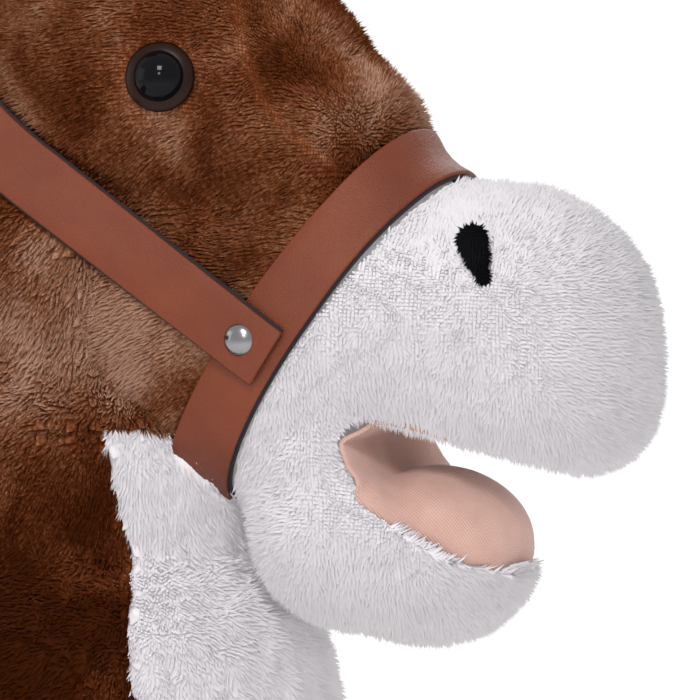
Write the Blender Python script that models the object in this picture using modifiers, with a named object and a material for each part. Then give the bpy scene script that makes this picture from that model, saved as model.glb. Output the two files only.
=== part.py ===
"""A ride-on rocking horse: a plush horse with a moving mouth and tail, standing on wooden bow rockers.

The horse faces +X, +Y is its left side and +Z is up. The origin is on the ground, midway along the rockers.
All lengths are in metres.
"""

import math

import bmesh
import bpy
from mathutils import Matrix, Vector
from mathutils.bvhtree import BVHTree

GAP = 0.0005  # between pieces that touch

# Rocker frame
ROCKER_LENGTH = 0.74
ROCKER_RADIUS = 0.95
ROCKER_HEIGHT = 0.044
ROCKER_THICKNESS = 0.020
ROCKER_Y = 0.125
ROCKER_STEPS = 22
ROCKER_FLAT = 0.060
CROSSBAR_X = 0.172
CROSSBAR_WIDTH = 0.060
CROSSBAR_THICKNESS = 0.015
CROSSBAR_LENGTH = 0.290
CROSSBAR_BOTTOM = 0.050
CROSSBAR_TOP = CROSSBAR_BOTTOM + CROSSBAR_THICKNESS

# Hidden wooden skeleton
POST_SIDE = 0.024
POST_FOOT_Y = 0.096
POST_TOP = (0.140, 0.030)
SPINE_BOTTOM, SPINE_TOP = 0.296, 0.314
SPINE_HALF_LENGTH, SPINE_HALF_WIDTH = 0.185, 0.048
NECK_POST_X = (0.088, 0.122)
NECK_POST_HALF_WIDTH = 0.018
NECK_POST_TOP = 0.500
HANDLE = Vector((0.105, 0.0, 0.470))
HANDLE_RADIUS, HANDLE_LENGTH = 0.0125, 0.290

# Head: the noseband lies in a plane square to the head's axis, which points down and forward
NOSEBAND = Vector((0.235, 0.0, 0.460))
HEAD_PITCH = math.radians(38)
HEAD_AXIS = Vector((math.cos(HEAD_PITCH), 0.0, -math.sin(HEAD_PITCH)))
JAW_HINGE = NOSEBAND + Vector((0.008, 0.0, -0.036))
MOUTH_ROOF_ANGLE = -13  # degrees above the horizon, forward from the jaw hinge
JAW_TOP_ANGLE = -35
CHEEK_ANGLE = 200  # where the jaw ends behind its hinge
SOCKET_RADIUS = 0.020
STRAP_WIDTH, STRAP_THICKNESS = 0.0205, 0.0022
EYE = NOSEBAND + Vector((-0.035, 0.0, 0.083))
EYE_RADIUS, PUPIL_RADIUS = 0.0120, 0.0083
RIVET = NOSEBAND + Vector((-0.005, 0.0, -0.001))
HEADSTALL_PITCH = math.radians(34.5)

# The seam between the neck and the body, a point and the way to the front, and the top of the hooves
WITHERS = (Vector((0.150, 0.0, 0.345)), Vector((0.50, 0.0, 0.86)).normalized())
FETLOCK = 0.112

# Tail, mouth and sound
TAIL_PIVOT = Vector((-0.228, 0.0, 0.352))
SADDLE_X = -0.010
STIRRUP_PIVOT_Z, STIRRUP_BAR_Z = 0.318, 0.205

COLOURS = {  # colour, roughness, metallic
    "pine": ((0.72, 0.50, 0.27), 0.55, 0.0),
    "brown_plush": ((0.24, 0.10, 0.045), 0.95, 0.0),
    "white_plush": ((0.86, 0.84, 0.83), 0.95, 0.0),
    "dark_hair": ((0.035, 0.018, 0.012), 0.8, 0.0),
    "pink_lining": ((0.80, 0.52, 0.43), 0.9, 0.0),
    "tan_leather": ((0.36, 0.12, 0.055), 0.45, 0.0),
    "black_felt": ((0.012, 0.012, 0.014), 0.95, 0.0),
    "eye_black": ((0.004, 0.004, 0.005), 0.06, 0.0),
    "eye_brown": ((0.08, 0.03, 0.012), 0.25, 0.0),
    "bright_metal": ((0.78, 0.77, 0.75), 0.2, 1.0),
    "plastic": ((0.05, 0.05, 0.055), 0.45, 0.0),
}


def clear_scene():
    for obj in list(bpy.data.objects):
        bpy.data.objects.remove(obj)


def collection(name):
    made = bpy.data.collections.new(name)
    bpy.context.scene.collection.children.link(made)
    return made


def material(name):
    found = bpy.data.materials.get(name)
    if found:
        return found
    colour, roughness, metallic = COLOURS[name]
    made = bpy.data.materials.new(name)
    made.use_nodes = True
    shader = made.node_tree.nodes["Principled BSDF"]
    shader.inputs["Base Color"].default_value = (*colour, 1.0)
    shader.inputs["Roughness"].default_value = roughness
    shader.inputs["Metallic"].default_value = metallic
    return made


def add_object(name, data, group):
    obj = bpy.data.objects.new(name, data)
    group.objects.link(obj)
    return obj


def piece(name, mesh, finish):
    """A named part of the horse."""
    mesh.name = name
    mesh.materials.clear()
    mesh.materials.append(material(finish))
    return add_object(name, mesh, PARTS)


def helper(name, mesh):
    """A cutter or guide, which is no part of the horse."""
    obj = add_object(name, mesh, CUTTERS)
    obj.hide_render = True
    obj.display_type = "WIRE"
    return obj


def finished(bm, name="shape", smooth=False):
    bmesh.ops.recalc_face_normals(bm, faces=bm.faces)
    mesh = bpy.data.meshes.new(name)
    bm.to_mesh(mesh)
    bm.free()
    if smooth:
        mesh.shade_smooth()
    return mesh


def evaluated(obj):
    """The object's mesh with its modifiers applied, in world space."""
    graph = bpy.context.evaluated_depsgraph_get()
    graph.update()
    mesh = bpy.data.meshes.new_from_object(obj.evaluated_get(graph), depsgraph=graph)
    mesh.transform(obj.matrix_world)
    return mesh


# Basic shapes


def box(low, high, bevel=0.0):
    low, high = Vector(low), Vector(high)
    bm = bmesh.new()
    bmesh.ops.create_cube(bm, size=1.0)
    bmesh.ops.scale(bm, vec=high - low, verts=bm.verts)
    bmesh.ops.translate(bm, vec=(low + high) / 2, verts=bm.verts)
    if bevel:
        bmesh.ops.bevel(bm, geom=bm.edges[:], offset=bevel, segments=1, profile=0.5, affect="EDGES")
    return finished(bm)


def rod(start, end, radius, end_radius=None, sides=16):
    """A cylinder or cone between two points."""
    start, end = Vector(start), Vector(end)
    axis = end - start
    place = Matrix.Translation((start + end) / 2) @ axis.to_track_quat("Z", "Y").to_matrix().to_4x4()
    bm = bmesh.new()
    bmesh.ops.create_cone(bm, cap_ends=True, segments=sides, radius1=radius,
                          radius2=radius if end_radius is None else end_radius,
                          depth=axis.length, matrix=place)
    return finished(bm, smooth=True)


def joined(*meshes):
    """Several overlapping meshes made one body."""
    base = helper("join_base", meshes[0])
    for mesh in meshes[1:]:
        other = helper("join_part", mesh)
        union = base.modifiers.new("union", "BOOLEAN")
        union.operation = "UNION"
        union.object = other
    return evaluated(base)


def grown(mesh, gap=GAP):
    """A copy whose faces stand out by about the gap."""
    bm = bmesh.new()
    bm.from_mesh(mesh)
    bmesh.ops.remove_doubles(bm, verts=bm.verts, dist=1e-5)
    bm.normal_update()
    for vert in bm.verts:
        vert.co += vert.normal * gap * 1.8
    return finished(bm)


def carve(obj, *meshes):
    for mesh in meshes:
        cut = obj.modifiers.new("carve", "BOOLEAN")
        cut.operation = "DIFFERENCE"
        cut.object = helper(obj.name + "_cutter", mesh)
    return obj


def trimmed(obj):
    """Applies the cuts and drops the crumbs they leave, keeping the largest body."""
    mesh = evaluated(obj)
    bm = bmesh.new()
    bm.from_mesh(mesh)
    bmesh.ops.remove_doubles(bm, verts=bm.verts, dist=1e-6)
    left, bodies = set(bm.faces), []
    while left:
        queue = [left.pop()]
        found = set(queue)
        while queue:
            for edge in queue.pop().edges:
                near = [f for f in edge.link_faces if f not in found]
                found.update(near)
                queue.extend(near)
        left -= found
        bodies.append(found)
    bodies.sort(key=lambda b: -sum(f.calc_area() for f in b))
    for crumbs in bodies[1:]:
        bmesh.ops.delete(bm, geom=list(crumbs), context="FACES")
    obj.modifiers.clear()
    bm.to_mesh(obj.data)
    bm.free()
    return obj


def flat_board(points, holes, half_thickness, middle, upright=True):
    """A board from a flat outline in X and Z, or X and Y if it isn't upright, with holes as further outlines."""
    curve = bpy.data.curves.new("outline", "CURVE")
    curve.dimensions = "2D"
    curve.fill_mode = "BOTH"
    curve.extrude = half_thickness
    for outline in (points, *holes):
        spline = curve.splines.new("POLY")
        spline.points.add(len(outline) - 1)
        for point, (x, y) in zip(spline.points, outline):
            point.co = (x, y, 0.0, 1.0)
        spline.use_cyclic_u = True
    obj = helper("outline", curve)
    turn = Matrix.Rotation(math.radians(90), 4, "X") if upright else Matrix.Identity(4)
    obj.matrix_world = Matrix.Translation(middle) @ turn
    bpy.context.view_layer.update()
    mesh = evaluated(obj)
    bm = bmesh.new()
    bm.from_mesh(mesh)
    bmesh.ops.remove_doubles(bm, verts=bm.verts, dist=1e-5)
    bpy.data.objects.remove(obj)
    return finished(bm)


def polar(x, z):
    """A direction in the XZ plane from an angle in degrees above the horizon, and a length."""
    return Vector((math.cos(math.radians(x)), 0.0, math.sin(math.radians(x)))) * z


# Stuffed forms


def stuffed(lobes, voxel, smoothing=5):
    """The fabric skin drawn over a set of stuffed lobes, each a centre, three radii and a nose-down pitch."""
    bm = bmesh.new()
    for centre, radii, pitch in lobes:
        place = Matrix.Translation(centre) @ Matrix.Rotation(pitch, 4, "Y") @ Matrix.Diagonal((*radii, 1.0))
        bmesh.ops.create_uvsphere(bm, u_segments=24, v_segments=16, radius=1.0, matrix=place)
    source = helper("lobes", finished(bm))
    remesh = source.modifiers.new("skin", "REMESH")
    remesh.mode = "VOXEL"
    remesh.voxel_size = voxel
    smooth = source.modifiers.new("smooth", "SMOOTH")
    smooth.factor = 0.5
    smooth.iterations = smoothing
    mesh = evaluated(source)
    bpy.data.objects.remove(source)
    return mesh


def sliced(mesh, *planes):
    """The part of a form behind each plane, given as a point and the normal of the side that is cut away."""
    bm = bmesh.new()
    bm.from_mesh(mesh)
    for point, normal in planes:
        cut = bmesh.ops.bisect_plane(bm, geom=bm.verts[:] + bm.edges[:] + bm.faces[:], dist=1e-6,
                                     plane_co=point, plane_no=normal, clear_outer=True)
        rim = [e for e in cut["geom_cut"] if isinstance(e, bmesh.types.BMEdge) and e.is_boundary]
        bmesh.ops.holes_fill(bm, edges=rim, sides=0)
    return finished(bm, smooth=True)


def front_of(plane):
    """The plane that keeps what is in front of a seam."""
    point, normal = plane
    return point + normal * GAP, -normal


def behind(plane):
    point, normal = plane
    return point - normal * GAP, normal


def surface(*meshes):
    """One ray-casting tree of several meshes."""
    verts, faces = [], []
    for mesh in meshes:
        start = len(verts)
        verts += [v.co.copy() for v in mesh.vertices]
        faces += [[start + i for i in p.vertices] for p in mesh.polygons]
    return BVHTree.FromPolygons(verts, faces)


def taut(radii, angles):
    """Distances from the middle made convex, as a strap under tension lies over hollows."""
    points = [Vector((r * math.cos(a), r * math.sin(a))) for r, a in zip(radii, angles)]
    out = []
    for angle in angles:
        ray = Vector((math.cos(angle), math.sin(angle)))
        best = 0.0
        for i, p in enumerate(points):
            for q in points[i + 1:]:
                side = q - p
                cross = ray.x * side.y - ray.y * side.x
                if abs(cross) < 1e-9:
                    continue
                along = (p.x * side.y - p.y * side.x) / cross
                share = (p.x * ray.y - p.y * ray.x) / cross
                if along > best and -1e-6 <= share <= 1 + 1e-6:
                    best = along
        out.append(best)
    return out


def wrapped(tree, middle, axis, zero, rows, angles, lift, thickness, convex=True):
    """A strap or cloth laid round a form: rows are places along the axis, and angles, in degrees, turn from the
    zero direction towards axis x zero."""
    side = axis.cross(zero)
    radians = [math.radians(a) for a in angles]
    bm = bmesh.new()
    grid = []
    for row in rows:
        origin = middle + axis * row
        radii = []
        for a in radians:
            ray = zero * math.cos(a) + side * math.sin(a)
            hit = tree.ray_cast(origin + ray * 0.5, -ray, 0.5)[0]
            radii.append((hit - origin).length if hit else 0.001)
        if convex:
            radii = taut(radii, radians)
        grid.append([bm.verts.new(origin + (zero * math.cos(a) + side * math.sin(a)) * (r + lift))
                     for r, a in zip(radii, radians)])
    closed = abs(angles[-1] - angles[0]) > 359
    count = len(angles) - 1 if closed else len(angles)
    for near, far in zip(grid, grid[1:]):
        for i in range(count if closed else count - 1):
            j = (i + 1) % count
            bm.faces.new((near[i], near[j], far[j], far[i]))
    if closed:
        for row in grid:
            bm.verts.remove(row[-1])
    sheet = helper("wrap", finished_outward(bm, middle, axis))
    shell = sheet.modifiers.new("thickness", "SOLIDIFY")
    shell.thickness = thickness
    shell.offset = 1.0
    mesh = evaluated(sheet)
    bpy.data.objects.remove(sheet)
    return mesh


def finished_outward(bm, middle, axis):
    """Faces turned away from the line through the middle along the axis."""
    bm.normal_update()
    for face in bm.faces:
        away = face.calc_center_median() - middle
        away -= axis * away.dot(axis)
        if face.normal.dot(away) < 0:
            face.normal_flip()
    mesh = bpy.data.meshes.new("wrap")
    bm.to_mesh(mesh)
    bm.free()
    return mesh


def spread(first, last, count):
    return [first + (last - first) * i / (count - 1) for i in range(count)]


# Wooden frame


def rocker_outline():
    """The bow, flat underneath for the middle stretch so that the horse stands level."""
    def arc(radius, count, reach):
        turn = math.asin(reach / radius)
        return [(radius * math.sin(a), ROCKER_RADIUS - radius * math.cos(a)) for a in spread(-turn, turn, count)]
    lower = arc(ROCKER_RADIUS, ROCKER_STEPS, ROCKER_LENGTH / 2 - 0.006)
    upper = arc(ROCKER_RADIUS - ROCKER_HEIGHT, ROCKER_STEPS, ROCKER_LENGTH / 2 - 0.022)
    left, right = [p for p in lower if p[0] < -ROCKER_FLAT], [p for p in lower if p[0] > ROCKER_FLAT]
    lower = left + [(-ROCKER_FLAT, 0.0), (ROCKER_FLAT, 0.0)] + right
    tip_x, tip_z = ROCKER_LENGTH / 2, lower[-1][1] + 0.016
    return lower + [(tip_x, tip_z)] + upper[::-1] + [(-tip_x, tip_z)]


def crossbar_mesh(x):
    half = CROSSBAR_WIDTH / 2
    return box((x - half, -CROSSBAR_LENGTH / 2, CROSSBAR_BOTTOM),
               (x + half, CROSSBAR_LENGTH / 2, CROSSBAR_TOP), bevel=0.002)


def post_mesh(x_side, y_side):
    """One of the four splayed posts that stand inside the legs."""
    foot = Vector((x_side * CROSSBAR_X, y_side * POST_FOOT_Y, CROSSBAR_TOP + GAP))
    top = Vector((x_side * POST_TOP[0], y_side * POST_TOP[1], SPINE_BOTTOM - GAP))
    half = POST_SIDE / 2
    bm = bmesh.new()
    bmesh.ops.create_cube(bm, size=1.0)
    for vert in bm.verts:
        end = top if vert.co.z > 0 else foot
        vert.co = end + Vector((vert.co.x * half * 2, vert.co.y * half * 2, 0.0))
    return finished(bm)


def build_frame():
    bars = {"front_crossbar": CROSSBAR_X, "rear_crossbar": -CROSSBAR_X}
    for name, y in (("left_rocker", ROCKER_Y), ("right_rocker", -ROCKER_Y)):
        mesh = flat_board(rocker_outline(), [], ROCKER_THICKNESS / 2, (0.0, y, 0.0))
        rocker = piece(name, mesh, "pine")
        carve(rocker, *[grown(crossbar_mesh(x)) for x in bars.values()])
    for name, x in bars.items():
        piece(name, crossbar_mesh(x), "pine")
    for end, x_side in (("front", 1), ("rear", -1)):
        for side, y_side in (("left", 1), ("right", -1)):
            piece(f"{side}_{end}_leg_post", post_mesh(x_side, y_side), "pine")
    piece("spine_board", spine_mesh(), "pine")
    carve(piece("neck_post", neck_post_mesh(), "pine"), grown(handle_mesh()))
    piece("handle_bar", handle_mesh(), "pine")


def neck_post_mesh():
    return box((NECK_POST_X[0], -NECK_POST_HALF_WIDTH, SPINE_TOP + GAP),
               (NECK_POST_X[1], NECK_POST_HALF_WIDTH, NECK_POST_TOP))


def handle_mesh():
    half = Vector((0.0, HANDLE_LENGTH / 2, 0.0))
    return rod(HANDLE - half, HANDLE + half, HANDLE_RADIUS, sides=16)


def build_grips():
    """A ribbed plastic grip with a flange on each end of the handle."""
    for side, y_side in (("left", 1), ("right", -1)):
        inner = HANDLE + Vector((0.0, y_side * 0.066, 0.0))
        outer = HANDLE + Vector((0.0, y_side * (HANDLE_LENGTH / 2 + 0.004), 0.0))
        step = Vector((0.0, y_side * 0.004, 0.0))
        body = joined(rod(inner, outer, 0.0155, sides=16), rod(inner, inner + step, 0.021, sides=16),
                      rod(outer - step, outer, 0.0185, sides=16))
        carve(piece(f"{side}_handle_grip", body, "plastic"), grown(handle_mesh()))


# Plush horse


def at(x, z, y=0.0):
    """A place on the head, in millimetres from the middle of the noseband."""
    return NOSEBAND + Vector((x, y, z)) / 1000


def lobe(centre, radii, pitch=0.0):
    return centre, Vector(radii) / 1000, math.radians(pitch)


def torso_form():
    """The barrel, chest and neck."""
    return stuffed([
        lobe(Vector((-0.030, 0.0, 0.333)), (190, 84, 82)),
        lobe(Vector((-0.140, 0.0, 0.338)), (88, 90, 88)),
        lobe(Vector((0.100, 0.0, 0.335)), (95, 86, 86)),
        lobe(Vector((0.152, 0.0, 0.340)), (86, 77, 86)),
        lobe(Vector((0.136, 0.0, 0.410)), (80, 62, 80), 20),
        lobe(Vector((0.140, 0.0, 0.480)), (74, 56, 80), 30),
    ], 0.0195)


def head_form():
    return stuffed([
        lobe(at(-57, 83), (64, 54, 63), 38),
        lobe(at(-32, 70), (42, 48, 53), 50),
        lobe(at(-1, 57), (38, 43, 38), 38),
        lobe(at(-50, 8), (66, 50, 60), 20),
        lobe(at(3, 2), (56, 49, 68), 38),
        lobe(at(34, 6), (50, 46, 46), 30),
        lobe(at(66, 2), (54, 45, 50), 14),
        lobe(at(83, -12), (36, 43, 37), 10),
        lobe(at(91, -21), (27, 38, 27), 10),
    ], 0.0140)


def jaw_form():
    return stuffed([
        lobe(at(37, -65), (42, 41, 39), 16),
        lobe(at(12, -63), (38, 43, 37), 24),
        lobe(at(8, -38), (24, 44, 24)),
    ], 0.0095, smoothing=3)


def swung_room(first, last, radius, reach):
    """A slab across the head between two directions from the jaw hinge, hollowed round the hinge."""
    turn = (last - first) % 360
    rim = [polar(first + turn * i / 12, radius) for i in range(13)]
    far = [polar(first + turn * i / 4, reach) for i in range(5)]
    points = [JAW_HINGE + p for p in rim + far[::-1]]
    return flat_board([(p.x, p.z) for p in points], [], 0.080, (0.0, 0.0, 0.0))


def mouth_wedge():
    """The room the jaw swings in: everything below the muzzle, and a round socket at the hinge."""
    socket = rod(JAW_HINGE - Vector((0, 0.080, 0)), JAW_HINGE + Vector((0, 0.080, 0)), SOCKET_RADIUS, sides=32)
    return joined(swung_room(CHEEK_ANGLE, MOUTH_ROOF_ANGLE, SOCKET_RADIUS * 0.9, 0.150), socket)


def jaw_housing_mesh(gap=0.0):
    """The case of the mouth's motor, with two lugs that hold the pin."""
    room = Vector((gap, gap, gap))
    case = box(JAW_HINGE + Vector((-0.062, -0.020, -0.004)) - room, JAW_HINGE + Vector((-0.023, 0.020, 0.030)) + room,
               bevel=0.002)
    lugs = [box(JAW_HINGE + Vector((-0.028, y - 0.0025, -0.0035)) - room,
                JAW_HINGE + Vector((0.005, y + 0.0025, 0.0050)) + room) for y in (0.0165, -0.0165)]
    return joined(case, *lugs)


def across(half_width, radius, sides=16):
    """A cylinder on the jaw hinge."""
    return rod(JAW_HINGE - Vector((0, half_width, 0)), JAW_HINGE + Vector((0, half_width, 0)), radius, sides=sides)


def jaw_pin_mesh(gap=0.0):
    return across(0.0225 + gap, 0.0020 + gap)


def jaw_plate_mesh(gap=0.0):
    """The stiff tongue inside the jaw and its barrel on the pin."""
    along, up = polar(JAW_TOP_ANGLE - 10, 1.0), polar(JAW_TOP_ANGLE + 80, 1.0)
    corners = ((0.0, -0.002 - gap), (0.055 + gap, -0.002 - gap), (0.055 + gap, 0.002 + gap), (0.0, 0.002 + gap))
    points = [JAW_HINGE + along * a + up * b for a, b in corners]
    tongue = flat_board([(p.x, p.z) for p in points], [], 0.0120 + gap, (0.0, 0.0, 0.0))
    return joined(across(0.0125 + gap, 0.0060 + gap), tongue)


def build_plush(torso, skull):
    above_jaw = swung_room(JAW_TOP_ANGLE, CHEEK_ANGLE + 2, SOCKET_RADIUS - 0.0008, 0.150)
    jaw = evaluated(carve(helper("jaw_form", jaw_form()), above_jaw))
    jaw_room = grown(jaw_form(), 0.0008)
    headband = (NOSEBAND, HEAD_AXIS)
    skull_room = grown(skull)

    head = piece("head", sliced(skull, behind(headband)), "brown_plush")
    carve(head, mouth_wedge(), jaw_housing_mesh(GAP), grown(neck_post_mesh()))
    muzzle = piece("muzzle", sliced(skull, front_of(headband)), "white_plush")
    carve(muzzle, mouth_wedge(), jaw_housing_mesh(GAP))

    shoulders = sliced(torso, front_of(WITHERS))
    neck = piece("neck", shoulders, "brown_plush")
    carve(neck, grown(blaze_block()), skull_room, jaw_room, grown(neck_post_mesh()), grown(spine_mesh()),
          grown(handle_mesh()))
    blaze = piece("chest_blaze", shoulders.copy(), "white_plush")
    keep = blaze.modifiers.new("keep", "BOOLEAN")
    keep.operation = "INTERSECT"
    keep.object = helper("blaze_block", blaze_block())
    carve(blaze, skull_room, jaw_room)

    body = piece("body", sliced(torso, behind(WITHERS)), "brown_plush")
    carve(body, grown(spine_mesh()), grown(neck_post_mesh()), grown(battery_box_mesh()), grown(battery_door_mesh()),
          grown(tail_stem_mesh()))
    for x_side in (1, -1):
        for y_side in (1, -1):
            carve(body, grown(post_mesh(x_side, y_side)))
    build_jaw(jaw)
    build_legs(torso)


def spine_mesh():
    return box((-SPINE_HALF_LENGTH, -SPINE_HALF_WIDTH, SPINE_BOTTOM),
               (SPINE_HALF_LENGTH, SPINE_HALF_WIDTH, SPINE_TOP))


def blaze_block():
    """The block whose meeting with the chest is the white bib."""
    return box((0.186, -0.056, 0.250), (0.30, 0.056, 0.440))


def build_jaw(jaw):
    plate = jaw_plate_mesh()
    housing = piece("jaw_motor_case", jaw_housing_mesh(), "plastic")
    carve(housing, jaw_pin_mesh(GAP))
    piece("jaw_pin", jaw_pin_mesh(), "bright_metal")
    carve(piece("jaw_plate", plate, "plastic"), jaw_pin_mesh(GAP))
    lower = piece("lower_jaw", jaw, "white_plush")
    slots = [rod(JAW_HINGE + Vector((0, y - 0.0052, 0)), JAW_HINGE + Vector((0, y + 0.0040, 0)), 0.0215, sides=22)
             for y in (0.0165, -0.0153)]
    carve(lower, joined(jaw_plate_mesh(GAP), across(0.0230, 0.0026), *slots))

    inset = jaw_form()
    centre = at(31, -60)
    inset.transform(Matrix.Translation(centre) @ Matrix.Diagonal((0.90, 0.84, 0.90, 1.0))
                    @ Matrix.Translation(-centre))
    over = polar(JAW_TOP_ANGLE + 90, 1.0)
    pad = sliced(inset, (JAW_HINGE, polar(JAW_TOP_ANGLE + 93, 1.0)), (JAW_HINGE + over * GAP, -over),
                 (JAW_HINGE + polar(JAW_TOP_ANGLE, SOCKET_RADIUS + 0.002), -polar(JAW_TOP_ANGLE, 1.0)))
    piece("jaw_lining", pad, "pink_lining")

    roof = polar(MOUTH_ROOF_ANGLE - 90, 1.0)
    upper = stuffed([lobe(at(50, -24), (36, 30, 40), 12)], 0.0075, smoothing=3)
    pad = sliced(upper, (JAW_HINGE, polar(MOUTH_ROOF_ANGLE - 92.5, 1.0)), (JAW_HINGE + roof * GAP, -roof),
                 (JAW_HINGE + polar(MOUTH_ROOF_ANGLE, SOCKET_RADIUS + 0.002), -polar(MOUTH_ROOF_ANGLE, 1.0)))
    piece("mouth_roof_lining", pad, "pink_lining")


def leg_form(x_side, y_side):
    return stuffed([
        lobe(Vector((x_side * 0.140, y_side * 0.052, 0.292)), (60, 42, 66)),
        lobe(Vector((x_side * 0.150, y_side * 0.066, 0.225)), (46, 35, 66)),
        lobe(Vector((x_side * 0.160, y_side * 0.080, 0.165)), (36, 31, 64)),
        lobe(Vector((x_side * 0.168, y_side * 0.090, 0.122)), (34, 31, 46)),
    ], 0.0200, smoothing=3)


def build_legs(form):
    whole = grown(form, 0.0006)
    for end, x_side in (("front", 1), ("rear", -1)):
        for side, y_side in (("left", 1), ("right", -1)):
            post = post_mesh(x_side, y_side)
            floor = (Vector((0, 0, FETLOCK + GAP)), Vector((0, 0, -1)))
            leg = piece(f"{side}_{end}_leg", sliced(leg_form(x_side, y_side), floor), "brown_plush")
            carve(leg, whole, grown(post))
            foot = Vector((x_side * 0.1690, y_side * 0.0920, 0.0))
            hoof = rod(foot + Vector((0, 0, CROSSBAR_TOP + GAP)), foot + Vector((0, 0, FETLOCK)), 0.0375, 0.0320,
                       sides=20)
            bm = bmesh.new()
            bm.from_mesh(hoof)
            rims = [e for e in bm.edges if abs(e.verts[0].co.z - e.verts[1].co.z) < 1e-5]
            bmesh.ops.bevel(bm, geom=rims, offset=0.004, segments=1, profile=0.5, affect="EDGES")
            carve(piece(f"{side}_{end}_hoof", finished(bm, smooth=True), "dark_hair"), grown(post))


def build_ears(form):
    skin = grown(form, 0.0006)
    for side, y_side in (("left", 1), ("right", -1)):
        base = at(-66, 140, y_side * 34)
        tip = Vector((0.004, y_side * 0.012, 0.040))
        shape = stuffed([
            (base, Vector((0.015, 0.022, 0.022)), 0.0),
            (base + tip * 0.45, Vector((0.012, 0.019, 0.024)), 0.0),
            (base + tip * 0.85, Vector((0.009, 0.012, 0.022)), 0.0),
        ], 0.0070, smoothing=2)
        ear = piece(f"{side}_ear", shape, "brown_plush")
        carve(ear, skin)
        if side == "right":
            carve(ear, grown(ear_button_mesh(0.010)))
            piece("ear_button", ear_button_mesh(0.0032), "plastic")


def ear_button_mesh(depth):
    """The press button in the front of the right ear."""
    face = at(-66, 158, -41) + Vector((0.0145, 0.0, 0.0))
    return rod(face - Vector((depth, 0.0, 0.0)), face, 0.0085, sides=20)


def build_eyes(form):
    skin = surface(form)
    for side, y_side in (("left", 1), ("right", -1)):
        start = EYE + Vector((0.0, y_side * 0.2, 0.0))
        hit = skin.ray_cast(start, Vector((0.0, -y_side, 0.0)))[0]
        out = Vector((0.26, y_side, 0.10)).normalized()
        seat = hit - out * 0.0030
        ring = rod(seat, seat + out * 0.0045, EYE_RADIUS, EYE_RADIUS * 0.82, sides=20)
        stem = rod(seat - out * 0.0120, seat + out * 0.0046, 0.0022, sides=12)
        bm = bmesh.new()
        place = Matrix.Translation(seat + out * 0.0040) @ out.to_track_quat("Z", "Y").to_matrix().to_4x4()
        bmesh.ops.create_uvsphere(bm, u_segments=16, v_segments=8, radius=1.0, matrix=place
                                  @ Matrix.Diagonal((PUPIL_RADIUS, PUPIL_RADIUS, 0.0052, 1.0)))
        dome = joined(finished(bm, smooth=True), stem)
        piece(f"{side}_eye", dome, "eye_black")
        carve(piece(f"{side}_eye_ring", ring, "eye_brown"), grown(dome))
        carve(bpy.data.objects["head"], grown(ring), grown(dome))


def build_nostrils(form):
    skin = surface(form)
    for side, y_side in (("left", 1), ("right", -1)):
        place = at(70, 22)
        hit = skin.ray_cast(place + Vector((0.0, y_side * 0.2, 0.0)), Vector((0.0, -y_side, 0.0)))[0]
        patch = stuffed([(hit + Vector((0.000, 0.0, 0.003)), Vector((0.0070, 0.0040, 0.0085)), 0.5)],
                        0.0030, smoothing=2)
        nostril = piece(f"{side}_nostril", patch, "black_felt")
        nostril.location = (0.0, 0.0, 0.0)
        carve(bpy.data.objects["muzzle"], grown(patch, 0.0004))


# Hair


def build_hair(torso, skull):
    crest = [lobe(Vector((0.136, 0.0, 0.600)), (44, 21, 27), -35),
             lobe(Vector((0.098, 0.0, 0.556)), (32, 21, 46), 20),
             lobe(Vector((0.076, 0.0, 0.510)), (30, 21, 48), 20),
             lobe(Vector((0.064, 0.0, 0.462)), (24, 19, 42), 15)]
    mane = piece("mane", stuffed(crest, 0.0110, smoothing=3), "dark_hair")
    strap = grown(bpy.data.objects["crown_strap"].data, 0.0009)
    carve(mane, grown(torso, 0.0007), grown(skull, 0.0010), strap)
    tuft = stuffed([lobe(at(-38, 150), (24, 20, 12), 30), lobe(at(-16, 134), (22, 15, 10), 52)], 0.0080, smoothing=3)
    forelock = piece("forelock", tuft, "dark_hair")
    carve(forelock, grown(skull, 0.0006), grown(evaluated(mane), 0.0006))


def tail_stem_mesh():
    """The motor's output shaft, which carries the tail."""
    return rod(TAIL_PIVOT + Vector((0.040, 0, 0)), TAIL_PIVOT + Vector((-0.012, 0, 0)), 0.0045)


def build_tail():
    carve(piece("tail_shaft", tail_stem_mesh(), "bright_metal"))
    hair = stuffed([
        lobe(TAIL_PIVOT + Vector((-0.020, 0, -0.004)), (17, 15, 18)),
        lobe(TAIL_PIVOT + Vector((-0.036, 0, -0.042)), (19, 20, 44), -12),
        lobe(TAIL_PIVOT + Vector((-0.044, 0, -0.105)), (21, 24, 56), -4),
        lobe(TAIL_PIVOT + Vector((-0.042, 0, -0.165)), (16, 18, 40), 4),
    ], 0.0110, smoothing=2)
    carve(piece("tail", hair, "dark_hair"), grown(tail_stem_mesh()))


# Sound unit


def battery_box_mesh():
    return box((-0.118, -0.022, 0.2580), (-0.034, 0.022, SPINE_BOTTOM - GAP), bevel=0.002)


def battery_door_mesh():
    return box((-0.104, -0.020, 0.2530), (-0.038, 0.020, 0.2580 - GAP), bevel=0.001)


def build_sound_unit():
    piece("battery_case", battery_box_mesh(), "plastic")
    piece("battery_door", battery_door_mesh(), "plastic")


# Tack


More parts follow.
